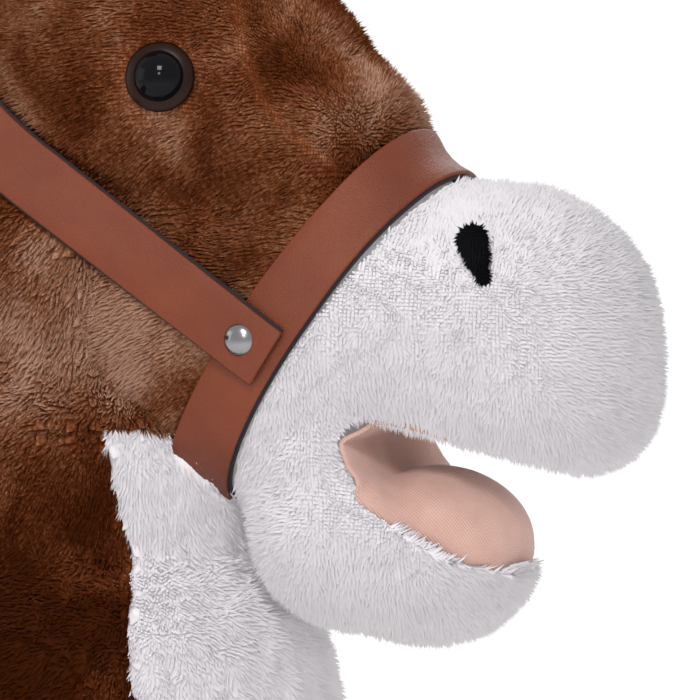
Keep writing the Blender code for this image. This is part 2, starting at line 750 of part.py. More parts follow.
def build_bridle(torso, skull):
    skin = surface(skull)
    up = Vector((math.sin(HEAD_PITCH), 0.0, math.cos(HEAD_PITCH)))
    around = spread(0.0, 360.0, 49)
    half = STRAP_WIDTH / 2
    rows = spread(-half, half, 3)
    piece("noseband", wrapped(skin, NOSEBAND, HEAD_AXIS, up, rows, around, 0.0010, STRAP_THICKNESS), "tan_leather")

    back = Vector((-math.cos(HEADSTALL_PITCH), 0.0, math.sin(HEADSTALL_PITCH)))
    normal = Vector((math.sin(HEADSTALL_PITCH), 0.0, math.cos(HEADSTALL_PITCH)))
    bands = surface(torso, skull, bpy.data.objects["noseband"].data)
    angles = spread(-99.0, 99.0, 47)
    strap = wrapped(bands, RIVET, normal, back, rows, angles, 0.0030, 0.0016)
    piece("crown_strap", strap, "tan_leather")
    outer = surface(strap)
    room = grown(bpy.data.objects["noseband"].data, 0.0004)
    for name in ("neck", "chest_blaze", "lower_jaw", "head", "muzzle"):
        carve(bpy.data.objects[name], room)
    for side, y_side in (("left", 1), ("right", -1)):
        hit = outer.ray_cast(RIVET + Vector((0, y_side * 0.2, 0)), Vector((0, -y_side, 0)))[0]
        out = Vector((0.0, y_side, 0.0))
        base = hit + out * 0.0003
        bm = bmesh.new()
        place = Matrix.Translation(base) @ out.to_track_quat("Z", "Y").to_matrix().to_4x4()
        bmesh.ops.create_uvsphere(bm, u_segments=20, v_segments=8, radius=1.0,
                                  matrix=place @ Matrix.Diagonal((0.0051, 0.0051, 0.0026, 1.0)))
        dome = sliced(finished(bm), (base, -out))
        piece(f"{side}_rivet", dome, "bright_metal")


def build_saddle(form):
    skin = surface(form)
    middle, up, axis = Vector((SADDLE_X, 0.0, 0.335)), Vector((0, 0, 1)), Vector((1, 0, 0))
    girth = wrapped(skin, middle, axis, up, spread(-0.016, 0.016, 2), spread(0, 360, 41), 0.0024, 0.0022)
    piece("girth", girth, "tan_leather")
    base = surface(form, girth)
    pad = wrapped(base, middle, axis, up, spread(-0.095, 0.044, 7), spread(-100, 100, 21), 0.0012, 0.0050,
                  convex=False)
    carve(piece("saddle_cloth", pad, "black_felt"), grown(girth))
    top = surface(pad)
    seat = wrapped(top, middle, axis, up, spread(-0.082, 0.034, 7), spread(-58, 58, 15), 0.0007, 0.0110,
                   convex=False)
    carve(piece("saddle", seat, "tan_leather"), grown(pad, 0.0006))


def build_stirrups():
    pad = surface(bpy.data.objects["saddle_cloth"].data)
    for side, y_side in (("left", 1), ("right", -1)):
        out = Vector((0, y_side, 0))
        heights = spread(STIRRUP_PIVOT_Z + 0.010, 0.24, 12)
        hits = [pad.ray_cast(Vector((SADDLE_X, y_side * 0.3, z)), -out)[0] for z in heights]
        y = max(abs(h.y) for h in hits if h) + 0.0030
        pivot = Vector((SADDLE_X, 0.0, STIRRUP_PIVOT_Z))
        shank = rod(pivot + out * (y - 0.012), pivot + out * (y + 0.006), 0.0035)
        hole = rod(pivot + out * (y - 0.020), pivot + out * (y + 0.004), 0.0040)
        stud = joined(shank, rod(pivot + out * (y + 0.0046), pivot + out * (y + 0.0066), 0.0070))
        piece(f"{side}_stirrup_stud", stud, "bright_metal")
        for name in ("saddle_cloth", "body", "girth"):
            carve(bpy.data.objects[name], grown(stud))
        half = 0.0105
        strap = box((SADDLE_X - half, min(y_side * y, y_side * (y + 0.0032)), STIRRUP_BAR_Z - 0.006),
                    (SADDLE_X + half, max(y_side * y, y_side * (y + 0.0032)), STIRRUP_PIVOT_Z + 0.011))
        iron = stirrup_mesh(y_side * (y + 0.0016))
        middle = y_side * (y + 0.0016)
        sleeve = box((SADDLE_X - half, middle - 0.0148, STIRRUP_BAR_Z - 0.0070),
                     (SADDLE_X + half, middle + 0.0148, STIRRUP_BAR_Z + 0.0060))
        carve(piece(f"{side}_stirrup_strap", joined(strap, sleeve), "tan_leather"), hole, grown(iron))
        piece(f"{side}_stirrup", iron, "plastic")


def stirrup_mesh(y):
    """A broad stirrup: a bowed arch over a flat tread."""
    def ring(width, top, bottom):
        arch = [(width * math.cos(a), top - width * 0.8 + width * 0.8 * math.sin(a))
                for a in spread(0.0, math.pi, 13)]
        return [(-width, bottom), (width, bottom)] + arch
    bar = STIRRUP_BAR_Z
    outer = [(SADDLE_X + x, z) for x, z in ring(0.043, bar + 0.003, bar - 0.082)]
    inner = [(SADDLE_X + x, z) for x, z in ring(0.036, bar - 0.004, bar - 0.074)]
    return flat_board(outer, [inner], 0.012, (0.0, y, 0.0))


clear_scene()
PARTS = collection("rocking_horse")
CUTTERS = collection("cutters")
TORSO, SKULL = torso_form(), head_form()
build_frame()
build_plush(TORSO, SKULL)
build_bridle(TORSO, SKULL)
build_ears(SKULL)
build_hair(TORSO, SKULL)
build_eyes(SKULL)
build_nostrils(SKULL)
build_tail()
build_sound_unit()
build_grips()
build_saddle(TORSO)
build_stirrups()
for soft in ("head", "muzzle", "neck", "chest_blaze", "body", "mane", "lower_jaw", "forelock"):
    trimmed(bpy.data.objects[soft])
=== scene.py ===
import math
import random

import bmesh
import bpy
from mathutils import Matrix, Vector, geometry, noise
from mathutils.bvhtree import BVHTree


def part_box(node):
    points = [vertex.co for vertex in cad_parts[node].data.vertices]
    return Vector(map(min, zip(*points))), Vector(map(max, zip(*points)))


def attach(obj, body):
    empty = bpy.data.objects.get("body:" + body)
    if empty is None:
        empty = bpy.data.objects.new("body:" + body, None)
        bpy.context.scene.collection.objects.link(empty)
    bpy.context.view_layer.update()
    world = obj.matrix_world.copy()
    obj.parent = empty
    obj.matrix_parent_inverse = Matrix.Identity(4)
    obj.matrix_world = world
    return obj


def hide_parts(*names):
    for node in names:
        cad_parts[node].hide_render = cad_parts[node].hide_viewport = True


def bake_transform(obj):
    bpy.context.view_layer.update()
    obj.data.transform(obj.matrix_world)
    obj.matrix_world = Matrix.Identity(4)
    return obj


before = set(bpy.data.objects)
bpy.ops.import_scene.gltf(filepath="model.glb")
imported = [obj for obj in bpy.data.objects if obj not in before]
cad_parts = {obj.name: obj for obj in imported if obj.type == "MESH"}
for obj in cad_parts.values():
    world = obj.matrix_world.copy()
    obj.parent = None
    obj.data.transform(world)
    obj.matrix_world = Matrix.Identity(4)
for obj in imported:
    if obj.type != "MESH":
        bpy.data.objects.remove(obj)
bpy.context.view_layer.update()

NOSEBAND = Vector((0.235, 0.0, 0.460))
HEAD_PITCH = math.radians(36)
HEAD_AXIS = Vector((math.cos(HEAD_PITCH), 0.0, -math.sin(HEAD_PITCH)))
HEADSTALL_PITCH = math.radians(34.5)
RIVET = NOSEBAND + Vector((-0.005, 0.0, -0.001))
STRAP_WIDTH = 0.0205
SADDLE_X = -0.010
SIDES = (("left", 1), ("right", -1))
PRESSED_PILE = 0.0004  # how high pile stands under a strap or the lining
PRESS_REACH = 0.012


# ---------------------------------------------------------------- shader nodes


def link(tree, a, b):
    tree.links.new(a, b)


def add(tree, kind, **props):
    node = tree.nodes.new(kind)
    for key, value in props.items():
        setattr(node, key, value)
    return node


def feed(tree, socket, value):
    """Sets a socket to a number or a vector, or links it to another node's output."""
    if isinstance(value, bpy.types.NodeSocket):
        link(tree, value, socket)
    elif isinstance(value, tuple) and len(value) == 3 and socket.type == "RGBA":
        socket.default_value = (*value, 1.0)
    else:
        socket.default_value = value


def maths(tree, op, *values):
    node = add(tree, "ShaderNodeMath", operation=op)
    for socket, value in zip(node.inputs, values):
        feed(tree, socket, value)
    return node.outputs["Value"]


def blended(tree, a, b, share):
    """a and b added, with this share of b."""
    return maths(tree, "ADD", maths(tree, "MULTIPLY", a, 1 - share), maths(tree, "MULTIPLY", b, share))


def ramp(tree, value, stops):
    node = add(tree, "ShaderNodeValToRGB")
    band = node.color_ramp
    while len(band.elements) < len(stops):
        band.elements.new(0.5)
    for element, (place, colour) in zip(band.elements, stops):
        element.position = place
        element.color = (*colour, 1.0)
    link(tree, value, node.inputs["Fac"])
    return node.outputs["Color"]


def mix_colour(tree, factor, a, b):
    node = add(tree, "ShaderNodeMix", data_type="RGBA")
    for socket, value in ((node.inputs[0], factor), (node.inputs[6], a), (node.inputs[7], b)):
        feed(tree, socket, value)
    return node.outputs[2]


def new_group(name, inputs, outputs):
    """An empty node group: its tree, the outputs of its input node, and its output node."""
    tree = bpy.data.node_groups.new(name, "ShaderNodeTree")
    for label, kind in inputs:
        tree.interface.new_socket(label, in_out="INPUT", socket_type=kind)
    for label in outputs:
        tree.interface.new_socket(label, in_out="OUTPUT", socket_type="NodeSocketFloat")
    return tree, tree.nodes.new("NodeGroupInput").outputs, tree.nodes.new("NodeGroupOutput").inputs


def placed(tree, group, **values):
    """Puts a group in a tree with these values, and gives its outputs."""
    node = add(tree, "ShaderNodeGroup", node_tree=group)
    for key, value in values.items():
        feed(tree, node.inputs[key.replace("_", " ")], value)
    return node.outputs


def build_mottle():
    """Uneven tone from noise in the piece's own coordinates, drawn out where a grain runs."""
    numbers = ["Scale", "Detail", "Roughness", "Distortion"]
    sockets = [(label, "NodeSocketFloat") for label in numbers] + [("Stretch", "NodeSocketVector")]
    tree, given, out = new_group("mottle", sockets, ["Value"])
    mapping = add(tree, "ShaderNodeMapping")
    link(tree, add(tree, "ShaderNodeTexCoord").outputs["Object"], mapping.inputs["Vector"])
    link(tree, given["Stretch"], mapping.inputs["Scale"])
    node = add(tree, "ShaderNodeTexNoise")
    link(tree, mapping.outputs["Vector"], node.inputs["Vector"])
    for label in numbers:
        link(tree, given[label], node.inputs[label])
    link(tree, node.outputs["Fac"], out["Value"])
    return tree


MOTTLE = build_mottle()


def mottle(tree, scale, detail=3.0, rough=0.5, distortion=0.0, stretch=(1.0, 1.0, 1.0)):
    return placed(tree, MOTTLE, Scale=scale, Detail=detail, Roughness=rough, Distortion=distortion,
                  Stretch=stretch)["Value"]


def build_plush_tone():
    """The mottling of a two-tone pile: broad patches with every tuft a little lighter or darker."""
    tree, given, out = new_group("plush tone", [("Scale", "NodeSocketFloat")], ["Value"])
    broad = mottle(tree, given["Scale"], 2.0, 0.45, 0.6)
    tufts = mottle(tree, maths(tree, "MULTIPLY", given["Scale"], 18.0), 3.0, 0.6, 0.2)
    link(tree, blended(tree, broad, tufts, 0.5), out["Value"])
    return tree


def build_side_patch():
    """A soft round area on both sides of the horse: the amount at its centre and 0 from the radius out."""
    sockets = [("Centre", "NodeSocketVector"), ("Radius", "NodeSocketFloat"), ("Amount", "NodeSocketFloat")]
    tree, given, out = new_group("side patch", sockets, ["Value"])
    split, merge = add(tree, "ShaderNodeSeparateXYZ"), add(tree, "ShaderNodeCombineXYZ")
    link(tree, add(tree, "ShaderNodeTexCoord").outputs["Object"], split.inputs[0])
    for axis in "XZ":
        link(tree, split.outputs[axis], merge.inputs[axis])
    far = add(tree, "ShaderNodeVectorMath", operation="DISTANCE")
    link(tree, merge.outputs[0], far.inputs[0])
    link(tree, given["Centre"], far.inputs[1])
    fade = add(tree, "ShaderNodeMapRange", interpolation_type="SMOOTHSTEP")
    link(tree, given["Radius"], fade.inputs["From Min"])
    fade.inputs["From Max"].default_value = 0.0
    link(tree, far.outputs["Value"], fade.inputs["Value"])
    link(tree, maths(tree, "MULTIPLY", fade.outputs["Result"], given["Amount"]), out["Value"])
    return tree


def build_leather_grain():
    """Pebbled leatherette: its broad tone, the height of its grain, and how much it is worn smooth."""
    sockets = [("Cells", "NodeSocketFloat")]
    tree, given, out = new_group("leather grain", sockets, ["Tone", "Height", "Roughness"])
    cells = add(tree, "ShaderNodeTexVoronoi", feature="DISTANCE_TO_EDGE")
    link(tree, given["Cells"], cells.inputs["Scale"])
    link(tree, add(tree, "ShaderNodeTexCoord").outputs["Object"], cells.inputs["Vector"])
    pebbles = maths(tree, "MULTIPLY", cells.outputs["Distance"], 0.9)
    link(tree, mottle(tree, 26.0, 3.0, 0.55), out["Tone"])
    link(tree, maths(tree, "ADD", pebbles, mottle(tree, 2400.0, 2.0)), out["Height"])
    link(tree, maths(tree, "MULTIPLY_ADD", mottle(tree, 300.0), 0.20, 0.34), out["Roughness"])
    return tree


def build_knit():
    """Brushed knit with fine slanting ribs."""
    tree, given, out = new_group("brushed knit", [("Ribs", "NodeSocketFloat")], ["Tone", "Height"])
    wave = add(tree, "ShaderNodeTexWave", wave_type="BANDS", bands_direction="DIAGONAL")
    link(tree, given["Ribs"], wave.inputs["Scale"])
    wave.inputs["Distortion"].default_value = 0.6
    link(tree, add(tree, "ShaderNodeTexCoord").outputs["Object"], wave.inputs["Vector"])
    link(tree, blended(tree, wave.outputs["Fac"], mottle(tree, 90.0), 0.75), out["Tone"])
    link(tree, wave.outputs["Fac"], out["Height"])
    return tree


def build_wood_grain():
    """Pine figure and the fine fibres in it, both drawn out along the board."""
    sockets = [("Figure", "NodeSocketVector"), ("Fibres", "NodeSocketVector")]
    tree, given, out = new_group("wood grain", sockets, ["Tone", "Height", "Roughness"])
    figure = mottle(tree, 70.0, 5.0, 0.6, 1.2, given["Figure"])
    fibre = mottle(tree, 520.0, 3.0, 0.6, 0.1, given["Fibres"])
    link(tree, blended(tree, figure, fibre, 0.25), out["Tone"])
    link(tree, fibre, out["Height"])
    link(tree, maths(tree, "MULTIPLY_ADD", fibre, 0.2, 0.35), out["Roughness"])
    return tree


def build_handling_wear():
    """Gloss that varies a little where hands and dust have been, over a fine moulded grain."""
    tree, given, out = new_group("handling wear", [("Gloss", "NodeSocketFloat")], ["Roughness", "Height"])
    link(tree, maths(tree, "MULTIPLY_ADD", mottle(tree, 240.0), 0.12, given["Gloss"]), out["Roughness"])
    link(tree, mottle(tree, 1600.0, 2.0), out["Height"])
    return tree


PLUSH_TONE = build_plush_tone()
SIDE_PATCH = build_side_patch()
LEATHER_GRAIN = build_leather_grain()
KNIT = build_knit()
WOOD_GRAIN = build_wood_grain()
HANDLING_WEAR = build_handling_wear()


# ---------------------------------------------------------------- materials


def new_material(name, roughness=0.6, metallic=0.0, **inputs):
    mat = bpy.data.materials.new(name)
    mat.use_nodes = True
    shader = mat.node_tree.nodes["Principled BSDF"]
    shader.inputs["Roughness"].default_value = roughness
    shader.inputs["Metallic"].default_value = metallic
    for key, value in inputs.items():
        shader.inputs[key.replace("_", " ")].default_value = value
    return mat, mat.node_tree, shader


def add_bump(tree, shader, height, strength, distance):
    node = add(tree, "ShaderNodeBump")
    node.inputs["Strength"].default_value = strength
    node.inputs["Distance"].default_value = distance
    link(tree, height, node.inputs["Height"])
    link(tree, node.outputs["Normal"], shader.inputs["Normal"])


def plush(name, painted_root_shade, stops, scale, patches=(), painted_glow=0.0):
    """Pile with painted shade at its roots, where shade falls between the tufts. Patches lighten it with
    painted sheen or darken it with painted shade.
    """
    # The emission is painted light: it brightens the pile and washes out its shade though the pile is no
    # lamp.
    mat, tree, shader = new_material(name, 0.95, Specular_IOR_Level=0.0, Emission_Strength=painted_glow,
                                     Emission_Color=(1.0, 0.97, 0.99, 1.0))
    value = placed(tree, PLUSH_TONE, Scale=scale)["Value"]
    # Each patch paints light or shade: a positive amount is painted sheen, a negative one painted shade.
    for centre, radius, amount in patches:
        area = placed(tree, SIDE_PATCH, Centre=centre, Radius=radius, Amount=amount)["Value"]
        value = maths(tree, "ADD", value, area)
    pile = add(tree, "ShaderNodeAttribute", attribute_name="pile").outputs["Fac"]
    # Painted shade: the pile's colour darkens towards its roots, where shade falls between the tufts.
    base = mix_colour(tree, maths(tree, "POWER", pile, 0.6), painted_root_shade, ramp(tree, value, stops))
    link(tree, base, shader.inputs["Base Color"])
    return mat


def leather(name, dark, light):
    mat, tree, shader = new_material(name, 0.45, Specular_IOR_Level=0.28)
    grain = placed(tree, LEATHER_GRAIN, Cells=1100.0)
    link(tree, ramp(tree, grain["Tone"], [(0.3, dark), (0.7, light)]), shader.inputs["Base Color"])
    link(tree, grain["Roughness"], shader.inputs["Roughness"])
    add_bump(tree, shader, grain["Height"], 0.55, 0.0004)
    return mat


def cloth(name, dark, light, ribs):
    mat, tree, shader = new_material(name, 0.95, Sheen_Weight=0.2, Specular_IOR_Level=0.1)
    knit = placed(tree, KNIT, Ribs=ribs)
    link(tree, ramp(tree, knit["Tone"], [(0.25, dark), (0.75, light)]), shader.inputs["Base Color"])
    add_bump(tree, shader, knit["Height"], 0.5, 0.0004)
    return mat


def wood(name, along):
    """Varnished pine whose grain runs along one axis."""
    mat, tree, shader = new_material(name, 0.45, Coat_Weight=0.25, Coat_Roughness=0.25)
    figure, fibres = (tuple(share if axis == along else 1.0 for axis in "XYZ") for share in (0.10, 0.04))
    grain = placed(tree, WOOD_GRAIN, Figure=figure, Fibres=fibres)
    stops = [(0.30, (0.40, 0.205, 0.080)), (0.5, (0.56, 0.33, 0.145)), (0.72, (0.66, 0.43, 0.21))]
    link(tree, ramp(tree, grain["Tone"], stops), shader.inputs["Base Color"])
    link(tree, grain["Roughness"], shader.inputs["Roughness"])
    add_bump(tree, shader, grain["Height"], 0.15, 0.0004)
    return mat


def moulded(name, colour, roughness, metallic=0.0, bump=0.0, **inputs):
    """Plastic or metal in one colour, with uneven gloss."""
    mat, tree, shader = new_material(name, roughness, metallic, **inputs)
    shader.inputs["Base Color"].default_value = (*colour, 1.0)
    wear = placed(tree, HANDLING_WEAR, Gloss=roughness - 0.05)
    link(tree, wear["Roughness"], shader.inputs["Roughness"])
    if bump:
        add_bump(tree, shader, wear["Height"], bump, 0.0003)
    return mat


BROWN_STOPS = [(0.34, (0.040, 0.0085, 0.0018)), (0.46, (0.150, 0.040, 0.013)), (0.55, (0.28, 0.105, 0.046)),
               (0.70, (0.56, 0.32, 0.22))]
WHITE_STOPS = [(0.3, (0.70, 0.67, 0.70)), (0.7, (0.79, 0.76, 0.79))]
HAIR_STOPS = [(0.3, (0.012, 0.007, 0.005)), (0.7, (0.045, 0.022, 0.014))]
BLACK_STOPS = [(0.3, (0.005, 0.005, 0.006)), (0.7, (0.016, 0.016, 0.018))]
# Positive amounts are painted sheen on the face, negative ones painted shade, the largest on the lower neck
# under the head.
HEAD_SHEEN_AND_SHADE = [((0.270, 0.0, 0.548), 0.042, 0.20), ((0.168, 0.0, 0.462), 0.052, 0.20),
                ((0.198, 0.0, 0.452), 0.032, 0.10), ((0.243, 0.0, 0.548), 0.026, -0.08),
                ((0.165, 0.0, 0.350), 0.075, -0.22), ((0.164, 0.0, 0.402), 0.040, -0.05)]
# The second value of each plush is the colour of its painted root shade.
BROWN = plush("brown plush", (0.075, 0.018, 0.006), BROWN_STOPS, 36.0, HEAD_SHEEN_AND_SHADE)
# The white plush glows a little: painted light that brightens it.
WHITE = plush("white plush", (0.66, 0.63, 0.65), WHITE_STOPS, 60.0, painted_glow=0.12)
BLACK_HAIR = plush("dark hair", (0.006, 0.004, 0.003), HAIR_STOPS, 90.0)
BLACK_PATCH = plush("black plush", (0.002, 0.002, 0.002), BLACK_STOPS, 120.0)
LEATHER = leather("saddle brown leatherette", (0.118, 0.022, 0.0065), (0.172, 0.036, 0.0115))
HOOF = leather("dark hoof leatherette", (0.010, 0.006, 0.004), (0.022, 0.013, 0.009))
PINK = cloth("pink brushed knit", (0.45, 0.265, 0.22), (0.56, 0.355, 0.30), 420.0)
FELT = cloth("black felt", (0.008, 0.008, 0.010), (0.028, 0.028, 0.032), 300.0)
WOOD_X, WOOD_Y, WOOD_Z = wood("pine along", "X"), wood("pine across", "Y"), wood("pine upright", "Z")
CHROME = moulded("polished nickel", (0.24, 0.235, 0.24), 0.20, 1.0)
BLACK_PLASTIC = moulded("black plastic", (0.018, 0.018, 0.020), 0.42, bump=0.15)
EYE_BLACK = moulded("eye dome", (0.003, 0.003, 0.004), 0.06, Specular_IOR_Level=0.10)
EYE_BROWN = moulded("eye rim", (0.012, 0.003, 0.001), 0.3, Specular_IOR_Level=0.15)
BACKING = moulded("strap backing", (0.010, 0.010, 0.014), 0.9)


# ---------------------------------------------------------------- shapes


def at(x, z, y=0.0):
    """A place on the head, in millimetres from the middle of the noseband."""
    return NOSEBAND + Vector((x, y, z)) / 1000


def lobe(centre, radii, pitch=0.0):
    return centre, Vector(radii) / 1000, math.radians(pitch)


def scratch(mesh):
    obj = bpy.data.objects.new("scratch", mesh)
    bpy.context.scene.collection.objects.link(obj)
    return obj


def baked(obj):
    """The object's mesh with its modifiers applied; the object itself goes."""
    graph = bpy.context.evaluated_depsgraph_get()
    graph.update()
    mesh = bpy.data.meshes.new_from_object(obj.evaluated_get(graph), depsgraph=graph)
    mesh.transform(obj.matrix_world)
    bpy.data.objects.remove(obj)
    return mesh


def mesh_of(bm, name="shape"):
    mesh = bpy.data.meshes.new(name)
    bm.to_mesh(mesh)
    bm.free()
    return mesh


def remeshed(mesh, voxel, smoothing):
    obj = scratch(mesh)
    skin = obj.modifiers.new("skin", "REMESH")
    skin.mode = "VOXEL"
    skin.voxel_size = voxel
    soft = obj.modifiers.new("soft", "SMOOTH")
    soft.factor = 0.5
    soft.iterations = smoothing
    return baked(obj)


def stuffed(lobes, voxel, smoothing=8):
    bm = bmesh.new()
    for centre, radii, pitch in lobes:
        matrix = Matrix.Translation(centre) @ Matrix.Rotation(pitch, 4, "Y") @ Matrix.Diagonal((*radii, 1.0))
        bmesh.ops.create_uvsphere(bm, u_segments=32, v_segments=20, radius=1.0, matrix=matrix)
    return remeshed(mesh_of(bm), voxel, smoothing)


def sliced(mesh, *planes):
    bm = bmesh.new()
    bm.from_mesh(mesh)
    for point, normal in planes:
        bmesh.ops.bisect_plane(bm, geom=bm.verts[:] + bm.edges[:] + bm.faces[:], dist=1e-6,
                               plane_co=point, plane_no=normal, clear_outer=True)
    return mesh_of(bm)


def prism(points, half_width):
    """A slab across the horse with this outline in X and Z."""
    bm = bmesh.new()
    ring = [bm.verts.new((p.x, -half_width, p.z)) for p in points]
    bm.faces.new(ring)
    out = bmesh.ops.extrude_face_region(bm, geom=bm.faces[:])
    moved = [v for v in out["geom"] if isinstance(v, bmesh.types.BMVert)]
    bmesh.ops.translate(bm, vec=(0, half_width * 2, 0), verts=moved)
    bmesh.ops.recalc_face_normals(bm, faces=bm.faces)
    return mesh_of(bm)


def boolean(mesh, other, operation):
    a, b = scratch(mesh), scratch(other)
    mod = a.modifiers.new("cut", "BOOLEAN")
    mod.operation = operation
    mod.object = b
    out = baked(a)
    bpy.data.objects.remove(b)
    return out


def tree_of(*meshes):
    verts, faces = [], []
    for mesh in meshes:
        start = len(verts)
        verts += [v.co.copy() for v in mesh.vertices]
        faces += [[start + i for i in p.vertices] for p in mesh.polygons]
    return BVHTree.FromPolygons(verts, faces)


def inside_of(tree, point):
    near, normal = tree.find_nearest(point)[:2]
    return near is not None and (point - near).dot(normal) < 0


def show(name, mesh, mat, body="horse", replaces=()):
    """Puts a finished piece in the scene, on its body, in place of the nodes it stands for."""
    mesh.name = name
    obj = bpy.data.objects.new(name, mesh)
    bpy.context.scene.collection.objects.link(obj)
    mesh.materials.clear()
    mesh.materials.append(mat)
    mesh.shade_smooth()
    if body:
        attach(obj, body)
    if replaces:
        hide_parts(*replaces)
    return obj


def unfold(mesh):
    """A flat layout of the skin, kept by the pile that grows from it."""
    obj = scratch(mesh)
    bpy.context.view_layer.objects.active = obj
    obj.select_set(True)
    layer = mesh.uv_layers.new(name="OFBake")
    mesh.uv_layers.active = layer
    bpy.ops.object.mode_set(mode="EDIT")
    bpy.ops.mesh.select_all(action="SELECT")
    bpy.ops.uv.smart_project(angle_limit=math.radians(66), island_margin=0.004)
    bpy.ops.object.mode_set(mode="OBJECT")
    bpy.data.objects.remove(obj)
    return mesh


def pelt(mesh, cuts, height, nap, seed, pressed=(), thin=None, lean=0.6, curl=0.35):
    """Grows plush pile: every small face of the skin is drawn out to a point that leans along the nap."""
    unfold(mesh)
    bm = bmesh.new()
    bm.from_mesh(mesh)
    if cuts:
        bmesh.ops.subdivide_edges(bm, edges=bm.edges[:], cuts=cuts, use_grid_fill=True)
    bm.normal_update()
    pile = bm.verts.layers.float.new("pile")
    rng = random.Random(seed)
    for vert in bm.verts:
        vert.co += vert.normal * (noise.noise(vert.co * 120.0) * 0.0008)
    bm.normal_update()
    out = bmesh.ops.poke(bm, faces=bm.faces[:])
    for vert in out["verts"]:
        normal = vert.normal.copy()
        direction = nap(vert.co)
        direction = direction - normal * direction.dot(normal)
        cell = vert.co * 260.0
        swirl = Vector([noise.noise(cell + Vector(shift)) for shift in ((0, 0, 0), (9, 0, 0), (0, 9, 0))])
        loose = Vector((rng.uniform(-1, 1), rng.uniform(-1, 1), rng.uniform(-1, 1)))
        tall = height * rng.uniform(0.72, 1.12)
        if thin:
            tall *= thin(vert.co)
        for tree in pressed:
            if tree.ray_cast(vert.co - normal * 0.004, normal, PRESS_REACH)[0] is not None:
                tall = min(tall, PRESSED_PILE)
        push = normal + direction * lean + swirl * curl + loose * 0.16
        vert.co += push.normalized() * tall
        vert[pile] = 1.0
    return mesh_of(bm)


def wrapped(tree, middle, axis, zero, rows, angles, lift, convex=True):
    """A sheet laid round a form: a grid whose rows lie along the axis and whose columns turn round it."""
    side = axis.cross(zero)
    radians = [math.radians(a) for a in angles]
    closed = abs(angles[-1] - angles[0]) > 359
    bm = bmesh.new()
    bmesh.ops.create_grid(bm, x_segments=len(rows) - 1, y_segments=len(angles) - 1, size=1.0)
    reach = []
    for row in rows:
        origin = middle + axis * row
        found = []
        for a in radians:
            ray = zero * math.cos(a) + side * math.sin(a)
            hit = tree.ray_cast(origin + ray * 0.4, -ray, 0.4)[0]
            found.append((hit - origin).length if hit else 0.001)
        reach.append(taut(found, radians) if convex else found)
    for vert in bm.verts:
        i = round((vert.co.x + 1) / 2 * (len(rows) - 1))
        j = round((vert.co.y + 1) / 2 * (len(angles) - 1))
        ray = zero * math.cos(radians[j]) + side * math.sin(radians[j])
        raise_by = lift(rows[i], angles[j]) if callable(lift) else lift
        vert.co = middle + axis * rows[i] + ray * (reach[i][j] + raise_by)
    if closed:
        bmesh.ops.remove_doubles(bm, verts=bm.verts, dist=1e-6)
    bm.normal_update()
    for face in bm.faces:
        away = face.calc_center_median() - middle
        away -= axis * away.dot(axis)
        if face.normal.dot(away) < 0:
            face.normal_flip()
    return mesh_of(bm)


def taut(reach, angles):
    """Distances from the middle made convex, as a strap under tension lies over hollows."""
    points = [Vector((r * math.cos(a), r * math.sin(a))) for r, a in zip(reach, angles)]
    out = []
    for angle in angles:
        ray = Vector((math.cos(angle), math.sin(angle)))
        best = 0.0
        for i, p in enumerate(points):
            for q in points[i + 1:]:
                across = q - p
                cross = ray.x * across.y - ray.y * across.x
                if abs(cross) < 1e-12:
                    continue
                along = (p.x * across.y - p.y * across.x) / cross
                share = (p.x * ray.y - p.y * ray.x) / cross
                if along > best and -1e-6 <= share <= 1 + 1e-6:
                    best = along
        out.append(best)
    return out


def thick(mesh, thickness, bevel=0.0, soften=0):
    """Gives a sheet its thickness, with eased edges."""
    obj = scratch(mesh)
    shell = obj.modifiers.new("shell", "SOLIDIFY")
    shell.thickness = thickness
    shell.offset = 1.0
    if bevel:
        edge = obj.modifiers.new("edge", "BEVEL")
        edge.width = bevel
        edge.segments = 2
        edge.limit_method = "ANGLE"
        edge.angle_limit = math.radians(50)
    if soften:
        sub = obj.modifiers.new("sub", "SUBSURF")
        sub.levels = soften
        sub.render_levels = soften
    return baked(obj)


def turned(profile, centre, axis, segments=64):
    """A round piece from its outline, given as distances along and out from the axis."""
    axis = axis.normalized()
    out = axis.orthogonal().normalized()
    bm = bmesh.new()
    verts = [bm.verts.new(axis * along + out * max(radius, 1e-5)) for along, radius in profile]
    edges = [bm.edges.new(pair) for pair in zip(verts, verts[1:])]
    bmesh.ops.spin(bm, geom=verts + edges, cent=(0, 0, 0), axis=axis, angle=math.tau, steps=segments,
                   use_merge=True)
    bmesh.ops.remove_doubles(bm, verts=bm.verts, dist=2e-5)
    bmesh.ops.recalc_face_normals(bm, faces=bm.faces)
    bmesh.ops.translate(bm, vec=centre, verts=bm.verts)
    return mesh_of(bm)


def spread(first, last, count):
    return [first + (last - first) * i / (count - 1) for i in range(count)]


def box_middle(name):
    low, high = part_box(name)
    return Vector([(a + b) / 2 for a, b in zip(low, high)])


# ---------------------------------------------------------------- plush horse


def torso_lobes():
    return [
        lobe(Vector((-0.030, 0.0, 0.333)), (190, 84, 82)),
        lobe(Vector((-0.140, 0.0, 0.338)), (88, 90, 88)),
        lobe(Vector((0.100, 0.0, 0.335)), (95, 86, 86)),
        lobe(Vector((0.155, 0.0, 0.330)), (82, 76, 84)),
        lobe(Vector((0.136, 0.0, 0.410)), (80, 62, 80), 20),
        lobe(Vector((0.140, 0.0, 0.480)), (74, 56, 80), 30),
    ]


